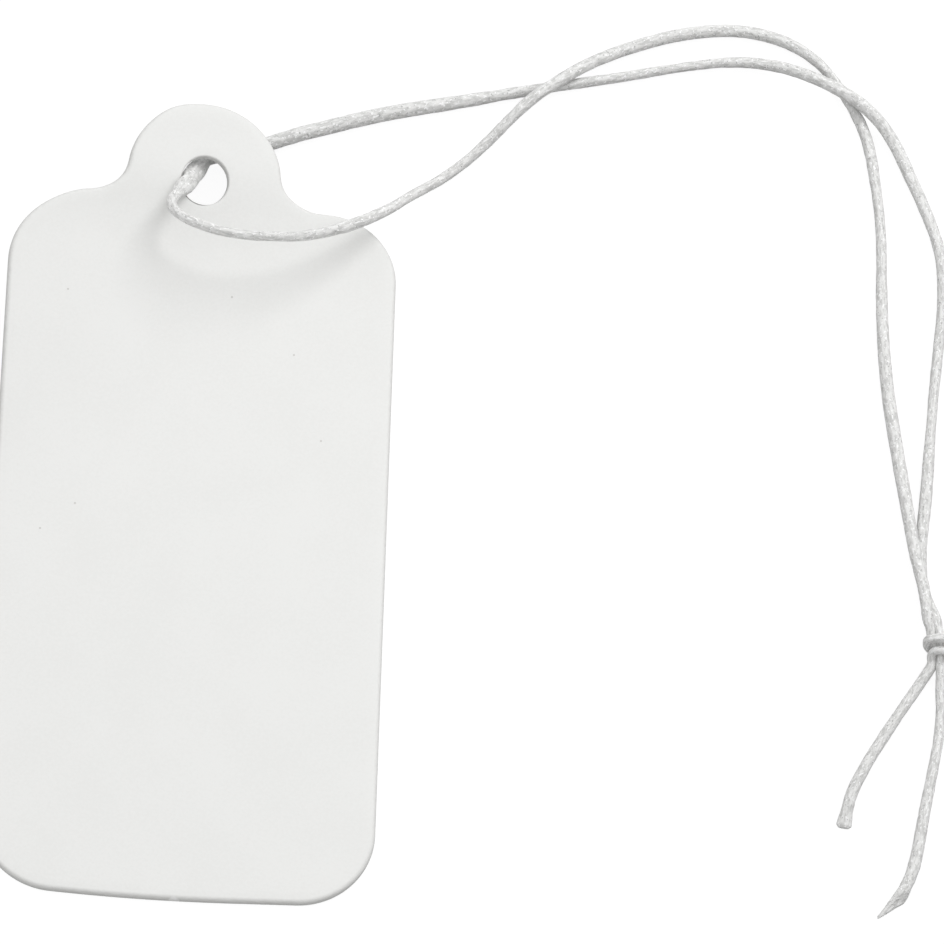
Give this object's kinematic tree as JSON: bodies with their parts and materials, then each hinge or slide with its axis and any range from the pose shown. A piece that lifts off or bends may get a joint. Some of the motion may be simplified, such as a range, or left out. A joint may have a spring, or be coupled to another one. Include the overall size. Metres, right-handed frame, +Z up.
{
  "type": "gift tag",
  "caption": "Small blank die-cut card tag with a round punched lobe, hung on a knotted loop of covered cord that swings about the hole.",
  "frame": {"origin": "under the middle of the card, on the surface that it lies on", "axes": "+X across the card, +Y along the card towards the lobe with the hole, +Z up out of the card's front face"},
  "size_m": [0.0391, 0.0392, 0.0033],
  "materials": {
    "card": "smooth white coated board, matt",
    "cord": "white covered cord with a fine silvery lustre"
  },
  "bodies": {
    "tag": {"tag_card": "card"},
    "cord": {"front_strand": "cord", "back_strand": "cord", "cord_knot": "cord", "short_tail": "cord", "long_tail": "cord"}
  },
  "joints": [
    {"name": "loop_swing", "type": "hinge", "parent": "tag", "child": "cord", "pos_m": [0, 0.01395, 0], "axis": [0, 0, 1], "range_deg": [-10, 170]}
  ]
}
